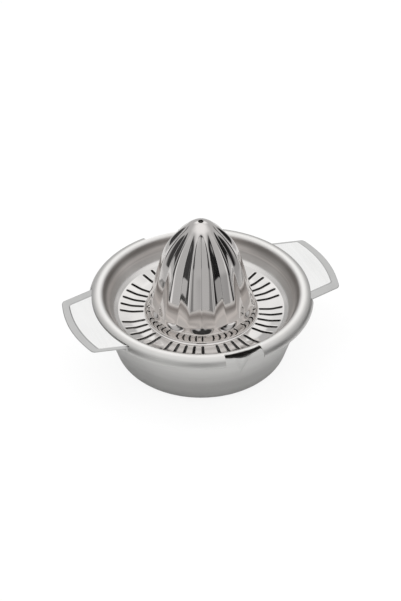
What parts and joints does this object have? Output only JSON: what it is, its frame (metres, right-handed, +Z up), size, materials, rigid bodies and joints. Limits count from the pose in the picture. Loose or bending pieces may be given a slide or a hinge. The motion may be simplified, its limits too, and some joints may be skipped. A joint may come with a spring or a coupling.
{
  "type": "citrus juicer",
  "caption": "Stainless hand citrus juicer: a fluted reaming cone on a slotted strainer that lifts off a spouted bowl with tab handles.",
  "frame": {"origin": "centre of the bowl's flat base, on the table", "axes": "+Z up along the bowl's axis; the handles point along +X and -X, the spouts along +Y and -Y"},
  "size_m": [0.1676, 0.1326, 0.0953],
  "materials": {
    "bowl_steel": "satin",
    "handle_steel": "satin border, bright panel",
    "strainer_steel": "polished",
    "cone_steel": "mirror polished"
  },
  "bodies": {
    "bowl_body": {"bowl": "bowl_steel", "handle_left": "handle_steel", "handle_right": "handle_steel"},
    "strainer_body": {"strainer": "strainer_steel", "reamer_cone": "cone_steel"}
  },
  "joints": [
    {"name": "strainer_lift", "type": "slide", "parent": "bowl_body", "child": "strainer_body", "axis": [0, 0, 1], "range_m": [0, 0.1]}
  ]
}
